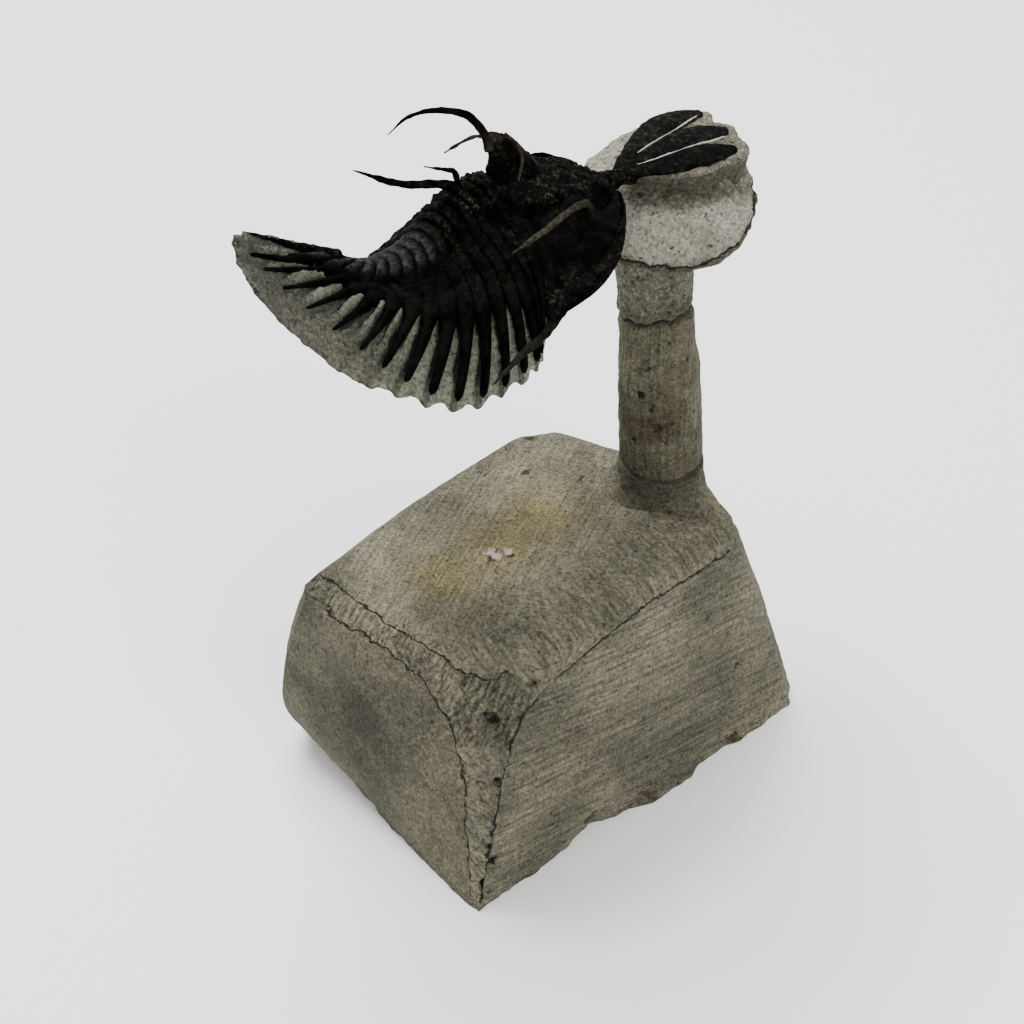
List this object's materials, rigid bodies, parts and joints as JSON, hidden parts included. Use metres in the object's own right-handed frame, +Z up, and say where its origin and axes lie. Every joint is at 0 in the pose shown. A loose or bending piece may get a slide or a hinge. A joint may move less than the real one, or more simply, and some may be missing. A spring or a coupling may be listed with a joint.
{
  "type": "fossil trilobite specimen on a stone stand",
  "caption": "Spiny fossil trilobite with a three-pronged head fork, held in the air by its fork on a limestone column that stands on a ground limestone block.",
  "frame": {"origin": "on the flat underside of the block, inside its outline, a little left of the middle of the whole object's box", "axes": "+Z up, out of the underside; +X to the right and +Y away from the viewer of the picture; the animal looks 36 degrees round from +X towards +Y"},
  "size_m": [0.0612, 0.0595, 0.0905],
  "materials": {
    "base_stone": "ground limestone, pale grey-olive with fine dark specks, file marks on its bevels and a yellow-brown stain on top",
    "column_stone": "scraped limestone with a brownish middle and small dark pits",
    "pale_matrix": "pale speckled matrix, air-abraded and matt",
    "body_matrix": "air-abraded grey matrix with fine specks, matt",
    "fossil_shell": "near-black calcite shell with dark brown and grey tints, semi-gloss and granulated"
  },
  "bodies": {
    "root": {"base_block": "base_stone", "column": "column_stone", "column_head": "pale_matrix", "body_matrix": "body_matrix", "trilobite": "fossil_shell"}
  },
  "joints": []
}
